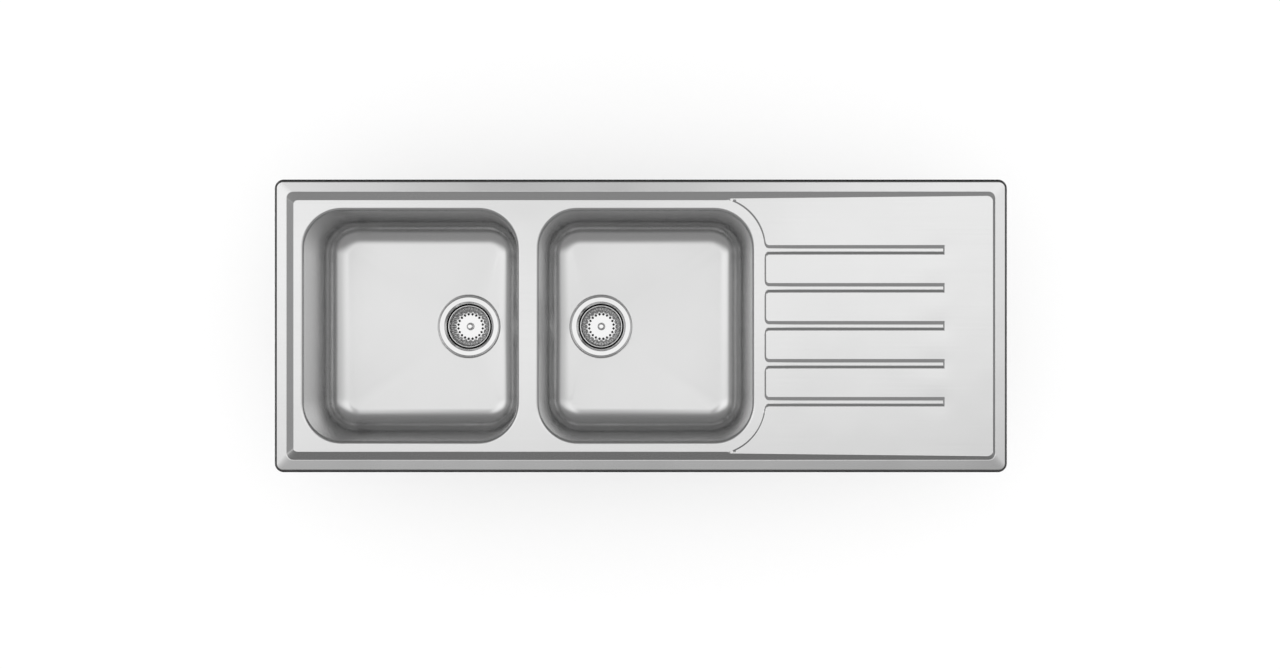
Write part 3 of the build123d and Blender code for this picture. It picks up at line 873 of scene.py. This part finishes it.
def step_lines(sign):
    """Arcs along the step where it turns round the corner of the platform."""
    band_y = ridge_y - long_side_run - step_band_gap
    lines = []
    for offset in step_line_offsets:
        arc = []
        for degrees in step_line_degrees:
            x = step_centre[0] + (step_corner + offset) * math.cos(math.radians(degrees))
            y = step_centre[1] + (step_corner + offset) * math.sin(math.radians(degrees))
            if last_groove + step_line_gap < y < band_y:
                arc.append((x, sign * y))
        lines.append(arc)
    return lines


def floor_lines():
    """Lines of points that carry the shape of the step, the fingers and the grooves."""
    columns = drainer_columns()
    lines = [[(x, y) for x in columns] for y in drainer_rows()]
    for sign in (-1, 1):
        lines += side_lines(sign) + step_lines(sign)
    return lines


def deck_floor(boundary, lips):
    """Plan points, triangles and origins of the sheet between the band's foot and the lips."""
    points, edges, owners = [], [], []

    def put_line(line, owner, closed):
        first = len(points)
        points.extend(Vector((p[0], p[1])) for p in line)
        owners.extend([owner] * len(line))
        edges.extend((first + i, first + i + 1) for i in range(len(line) - 1))
        if closed:
            edges.append((len(points) - 1, first))

    put_line(boundary, "band", True)
    for number, lip in enumerate(lips):
        put_line(lip, f"lip{number}", True)
    for line in floor_lines():
        put_line(line, "floor", False)
    flat, _, triangles, origins, _, _ = delaunay_2d_cdt(points, edges, [], 0, 1e-7)
    kept = []
    for triangle in triangles:
        homes = [{owners[i] for i in origins[v]} for v in triangle]
        shared = set.intersection(*homes) - {"floor"}
        centre = sum((flat[v] for v in triangle), Vector((0, 0))) / 3
        if not shared or shared == {"band"} and inside_loop(centre, boundary):
            kept.append(triangle)
    return flat, kept, origins


def inside_loop(point, loop):
    """True if a point in plan lies within a closed loop."""
    within = False
    for i in range(len(loop)):
        a, b = loop[i - 1], loop[i]
        if (a.y > point.y) != (b.y > point.y):
            if point.x < a.x + (point.y - a.y) * (b.x - a.x) / (b.y - a.y):
                within = not within
    return within


def join_loops(loops, vertices, normals, faces):
    """Adds loops of (points, normals), from the outside inwards, and the faces between them."""
    first, count = len(vertices), len(loops[0][0])
    for ring, leans in loops:
        vertices.extend(ring)
        normals.extend(leans)
    for i in range(len(loops) - 1):
        here, there = first + i * count, first + (i + 1) * count
        for j in range(count):
            k = (j + 1) % count
            faces.append((here + j, here + k, there + k, there + j))
    return first, count


def make_deck():
    """The pressed sheet with its rolled edge, rim, band, step, grooves and lips."""
    fine = spread(step_x - ridge_fine_start, step_x - ridge_fine_end, ridge_fine_pitch)
    coarse = spread(-half_length + ridge_pitch, half_length - ridge_pitch, ridge_pitch)
    long_reach = ridge_x - ridge_corner
    longs = sorted(x / long_reach for x in coarse + fine if abs(x) < long_reach - ridge_end_gap)
    shorts = [2 * i / short_side_parts - 1 for i in range(1, short_side_parts)]
    rim = rim_loops(longs, shorts)
    lips = [lip_loops(bowl_centres[side]) for side in sides]
    vertices, normals, faces = [], [], []
    first, count = join_loops(rim, vertices, normals, faces)
    shared = [first + (len(rim) - 1) * count + j for j in range(count)]
    for lip in lips:
        first, count = join_loops(lip, vertices, normals, faces)
        shared += [first + j for j in range(count)]
    plan, triangles, origins = deck_floor(rim[-1][0], [lip[0][0] for lip in lips])
    index = []
    for point, origin in zip(plan, origins):
        known = [i for i in origin if i < len(shared)]
        if known:
            index.append(shared[known[0]])
        else:
            index.append(len(vertices))
            vertices.append(Vector((point.x, point.y, floor_height(point.x, point.y))))
            normals.append(floor_normal(point.x, point.y))
    for a, b, c in triangles:
        turn = (plan[b] - plan[a]).cross(plan[c] - plan[a])
        faces.append((index[a], index[b], index[c]) if turn > 0 else (index[a], index[c], index[b]))
    piece = sheet_piece("pressed_deck", vertices, normals, faces, sheet, True)
    show_instead(piece, "deck", "sink", deck_steel)


make_deck()


def turned_loops(profile, turns, centre, push=None):
    """Loops round an upright axis from a profile that runs outwards, given from the outside in."""
    loops = []
    for point, lean in reversed(list(zip(*profile))):
        ring, fronts = [], []
        for turn in turns:
            out = Vector((math.cos(turn), math.sin(turn), 0))
            front = out * lean.x + Vector((0, 0, lean.y))
            place = Vector(centre) + out * point.x + Vector((0, 0, point.y))
            ring.append(place + front * (push(point, turn) if push else 0))
            fronts.append(front)
        loops.append((ring, fronts))
    return loops


def undrained(faces, vertices, centre):
    """The faces of a cup that lie outside the round holes in its bottom."""
    kept = []
    pitch = 2 * math.pi / drain_holes
    for face in faces:
        middle = sum((vertices[v] for v in face), Vector()) / 4 - Vector(centre)
        nearest = round(math.atan2(middle.y, middle.x) / pitch) * pitch
        hole = Vector((math.cos(nearest), math.sin(nearest))) * drain_ring
        gap = (middle.xy - hole).length
        if gap > drain_hole or middle.z > -cup_depth + drain_hole_reach:
            kept.append(face)
    return kept


def make_cup(side):
    """The spun cup: a flat polished flange, a sloping throat, a tapered wall and a pierced bottom."""
    corners = [
        (cup_hole, -cup_depth),
        (cup_well, -cup_depth),
        (cup_well, cup_well - cup_wall - cup_wall_depth),
        (cup_wall, -cup_wall_depth),
        (cup_neck, -cup_neck_depth),
        (cup_throat, -cup_throat_depth),
        (cup_mouth, flange_level),
        (flange_radius - flange_bevel, flange_level + flange_crown),
        (flange_radius, cup_sheet / 2),
    ]
    profile = smooth_profile(corners, cup_bends)
    turns = [math.radians(360 / cup_turns * i) for i in range(cup_turns)]
    vertices, normals, faces = [], [], []
    centre = (waste_places[side], 0, seat_z)
    join_loops(turned_loops(profile, turns, centre), vertices, normals, faces)
    kept = undrained(faces, vertices, centre)
    piece = sheet_piece(f"{side}_spun_cup", vertices, normals, kept, cup_sheet, True)
    show_instead(piece, f"{side}_strainer_cup", "sink", polished_steel)


def basket_push(point, turn):
    """How far the flutes press the sheet out of the dished side of the basket."""
    share = (point.x - basket_flute_start) / (basket_shoulder - basket_flute_start)
    if not 0 < share < 1:
        return 0
    return flute_depth * math.sin(math.pi * share) ** 0.5 * math.cos(flutes * turn)


def dish_point(radius):
    """A point of the basket's bottom, level and then turning up, and its normal."""
    past = max(0, radius - basket_dish)
    lean = Vector((-past / basket_dish_bend, 1)).normalized()
    return Vector((radius, past ** 2 / (2 * basket_dish_bend) - basket_depth)), lean


def basket_profile():
    """Points and normals of the basket's upper face, from the stem to the rolled lip."""
    hole_rows = [basket_hole_ring + basket_hole * i / 2 for i in range(-2, 3)]
    flute_pitch = (basket_shoulder - basket_flute_start) / flute_rows
    fluted_rows = [basket_flute_start + flute_pitch * i for i in range(flute_rows)]
    radii = [basket_stem, *basket_inner_rings, *hole_rows, *fluted_rows]
    rows = [dish_point(radius) for radius in radii]
    corners = [
        rows[-1][0],
        dish_point(basket_shoulder)[0],
        (basket_throat, -basket_lip_depth),
        (basket_lip - basket_sheet, -basket_lip_depth),
        (basket_lip, -basket_lip_depth - 2 * basket_sheet),
    ]
    upper = list(zip(*smooth_profile(corners, basket_bends)))
    return rows + upper[1:]


def basket_turns():
    """Angles round the basket, with points on the corners and the middle of every hole."""
    steps = [-hole_angle, -hole_angle / 2, 0, hole_angle / 2, hole_angle]
    rest = (flute_angle - 2 * hole_angle) / 4
    steps += [hole_angle + rest * i for i in (1, 2, 3)]
    return [flute_angle * (n + 0.5) + step for n in range(flutes) for step in steps]


def outside_hole(offset):
    """How far a point of the basket lies outside the nearest hole; negative inside it."""
    if offset.z >= basket_hole - basket_depth:
        return 1
    angle = math.atan2(offset.y, offset.x) / flute_angle - 0.5
    swing = (angle - round(angle)) * flute_angle / hole_angle
    climb = (math.hypot(offset.x, offset.y) - basket_hole_ring) / basket_hole
    return abs(swing) + abs(climb) - 1


def pierced(faces, vertices, centre):
    """The faces of a basket outside its holes; a face that a hole's edge crosses keeps its outer half."""
    kept = []
    for face in faces:
        reach = [outside_hole(vertices[v] - Vector(centre)) for v in face]
        clear = [i for i in range(4) if reach[i] > hole_tolerance]
        if not clear:
            continue
        if min(reach) < -hole_tolerance:
            i = clear[0]
            kept.append((face[i - 1], face[i], face[(i + 1) % 4]))
        else:
            kept.append(face)
    return kept


def make_basket(side):
    """The spun basket: a dished side with flutes and a ring of square holes that stand on a corner."""
    vertices, normals, faces = [], [], []
    centre = (waste_places[side], 0, seat_z)
    profile = tuple(zip(*basket_profile()))
    join_loops(turned_loops(profile, basket_turns(), centre, basket_push), vertices, normals, faces)
    kept = pierced(faces, vertices, centre)
    piece = sheet_piece(f"{side}_spun_basket", vertices, normals, kept, basket_sheet, False)
    show_instead(piece, f"{side}_basket", f"{side}_basket_body", basket_steel)


for strainer_side in sides:
    make_cup(strainer_side)
    make_basket(strainer_side)


def make_floor():
    """A pale floor under the outlets, white with a faint shadow from above and clear from below."""
    z = cad_box[0].z
    corners = [(x * floor_half, y * floor_half, z) for x, y in ((-1, -1), (1, -1), (1, 1), (-1, 1))]
    floor = new_piece("floor", corners, [(0, 1, 2, 3)])
    made, tree, shader = new_material("floor")
    tree.nodes.remove(shader)
    path = add(tree, "LightPath").outputs
    seen = math_node(tree, "MAXIMUM", path["Is Glossy Ray"], path["Is Transmission Ray"])
    seen = math_node(tree, "MAXIMUM", seen, path["Is Camera Ray"])
    strength = product(tree, seen, floor_glow)
    glow = add(tree, "Emission", {"Strength": strength}).outputs[0]
    plain = add(tree, "BsdfDiffuse", {"Color": grey(floor_grey)}).outputs[0]
    lit = add(tree, "AddShader")
    tree.links.new(plain, lit.inputs[0])
    tree.links.new(glow, lit.inputs[1])
    behind = add(tree, "NewGeometry").outputs["Backfacing"]
    one_sided = add(tree, "MixShader", {"Fac": behind})
    tree.links.new(lit.outputs[0], one_sided.inputs[1])
    tree.links.new(add(tree, "BsdfTransparent").outputs[0], one_sided.inputs[2])
    tree.links.new(one_sided.outputs[0], tree.nodes["Material Output"].inputs["Surface"])
    floor.data.materials.append(made)


def seen_in_metal_only(piece, material, light):
    """Gives a piece of the studio a glowing material that only reflections show."""
    tree = material.node_tree
    tree.links.new(light, tree.nodes["Material Output"].inputs["Surface"])
    piece.data.materials.append(material)
    material.cycles.emission_sampling = "NONE"
    piece.visible_camera = False
    piece.visible_diffuse = False
    piece.visible_shadow = False


def make_card():
    """A dark card round the sink at the height of its edge, which only the rolled edge reflects."""
    loops = []
    for reach in (card_gap, card_reach):
        ring = rounded_rectangle(half_length + reach, half_width + reach, outline_corner + reach)
        loops.append([(x, y, 0) for x, y in ring])
    count = len(loops[0])
    faces = [(i, i + count, (i + 1) % count + count, (i + 1) % count) for i in range(count)]
    card = new_piece("dark_card", loops[0] + loops[1], faces)
    made, tree, shader = new_material("dark_card")
    tree.nodes.remove(shader)
    dark = add(tree, "Emission", {"Color": grey(card_grey)}).outputs[0]
    seen_in_metal_only(card, made, dark)


def inside_softbox(tree, run, low_side, high_side):
    """One inside the softbox along one axis, fading out to either side."""
    under_high = ramp(tree, run, *high_side, 1.0, 0.0, smooth=True)
    turned = product(tree, run, -1)
    return product(tree, under_high, ramp(tree, turned, *low_side, 1.0, 0.0, smooth=True))


def softbox_light(tree, run_x, run_y):
    """The softbox's light, less towards its edges and one corner and behind the camera's arm."""
    inside_x = inside_softbox(tree, run_x, softbox_left, softbox_right)
    inside_y = inside_softbox(tree, run_y, softbox_front, softbox_back)
    to_corner = product(tree, math_node(tree, "SUBTRACT", run_x, run_y), diagonal)
    corner = ramp(tree, to_corner, *corner_fade, 1.0, corner_level)
    on_arm_x = near_arm(tree, run_x, arm_run[0], arm_half[0])
    on_arm_y = near_arm(tree, run_y, arm_run[1], arm_half[1])
    past_arm = ramp(tree, product(tree, on_arm_x, on_arm_y), 0.0, 1.0, 1.0, arm_level)
    shade = product(tree, corner, past_arm)
    inside = product(tree, product(tree, inside_x, inside_y), shade)
    return product(tree, inside, softbox_level - high_level)


def near_arm(tree, run, middle, half):
    """One inside the camera's arm along one axis, and none outside it."""
    distance = math_node(tree, "ABSOLUTE", math_node(tree, "SUBTRACT", run, middle))
    return ramp(tree, distance, half - arm_fade, half + arm_fade, 1.0, 0.0, smooth=True)


def surrounding_light(tree, up, back, over_horizon):
    """The dark cloth round the softbox, darker at the back, and the floor's light from below."""
    above = ramp(tree, up, 0.0, high_from, horizon_level, high_level, smooth=True)
    to_back = ramp(tree, back, *back_from, 1.0, back_level)
    cloth = product(tree, product(tree, above, over_horizon), to_back)
    below = ramp(tree, up, below_from, 0.0, below_level, 0.0)
    return math_node(tree, "ADD", cloth, below)


def make_tent():
    """A light tent: a long softbox overhead, fading into dark cloth."""
    dome = bmesh.new()
    bmesh.ops.create_icosphere(dome, subdivisions=tent_subdivisions, radius=tent_radius)
    mesh = bpy.data.meshes.new("light_tent")
    dome.to_mesh(mesh)
    dome.free()
    tent = put_in_scene("light_tent", mesh)
    made, tree, shader = new_material("light_tent")
    tree.nodes.remove(shader)
    place = add(tree, "TexCoord").outputs["Object"]
    direction = add(tree, "VectorMath", {0: place}, operation="NORMALIZE").outputs["Vector"]
    parts = add(tree, "SeparateXYZ", {"Vector": direction}).outputs
    height = math_node(tree, "MAXIMUM", parts["Z"], least_height)
    run_x = math_node(tree, "DIVIDE", parts["X"], height)
    run_y = math_node(tree, "DIVIDE", parts["Y"], height)
    over_horizon = math_node(tree, "GREATER_THAN", parts["Z"], 0.0)
    level = surrounding_light(tree, parts["Z"], parts["Y"], over_horizon)
    extra = product(tree, softbox_light(tree, run_x, run_y), over_horizon)
    total = math_node(tree, "ADD", level, extra)
    light = add(tree, "Emission", {"Color": grey(1.0), "Strength": total}).outputs[0]
    seen_in_metal_only(tent, made, light)


def make_world():
    """A plain white background at a strength of one."""
    world = bpy.data.worlds.new("studio")
    bpy.context.scene.world = world
    world.use_nodes = True
    tree = world.node_tree
    tree.nodes.clear()
    white = add(tree, "Background", {"Color": grey(1.0), "Strength": 1.0}).outputs[0]
    tree.links.new(white, add(tree, "OutputWorld").inputs["Surface"])


def make_lamp():
    """A soft lamp that lights matt surfaces only; metal reflects the tent."""
    lamp = bpy.data.lights.new("soft_lamp", "AREA")
    lamp.size = lamp_size
    lamp.energy = lamp_watts
    holder = put_in_scene("soft_lamp", lamp)
    holder.location = (0, 0, lamp_height)
    holder.visible_glossy = False
    holder.visible_camera = False


def make_camera():
    """Looks straight down, with the sink where the photograph has it."""
    camera = bpy.data.cameras.new("camera")
    camera.sensor_width = sensor_width
    camera.lens = sensor_width * camera_height / (image_width_px * metres_per_px)
    holder = put_in_scene("camera", camera)
    x = -object_shift_px[0] * metres_per_px
    y = object_shift_px[1] * metres_per_px
    holder.location = (x, y, cad_box[1].z + camera_height)
    bpy.context.scene.camera = holder


make_floor()
make_card()
make_tent()
make_world()
make_lamp()
make_camera()
bpy.context.scene.view_settings.view_transform = "Standard"
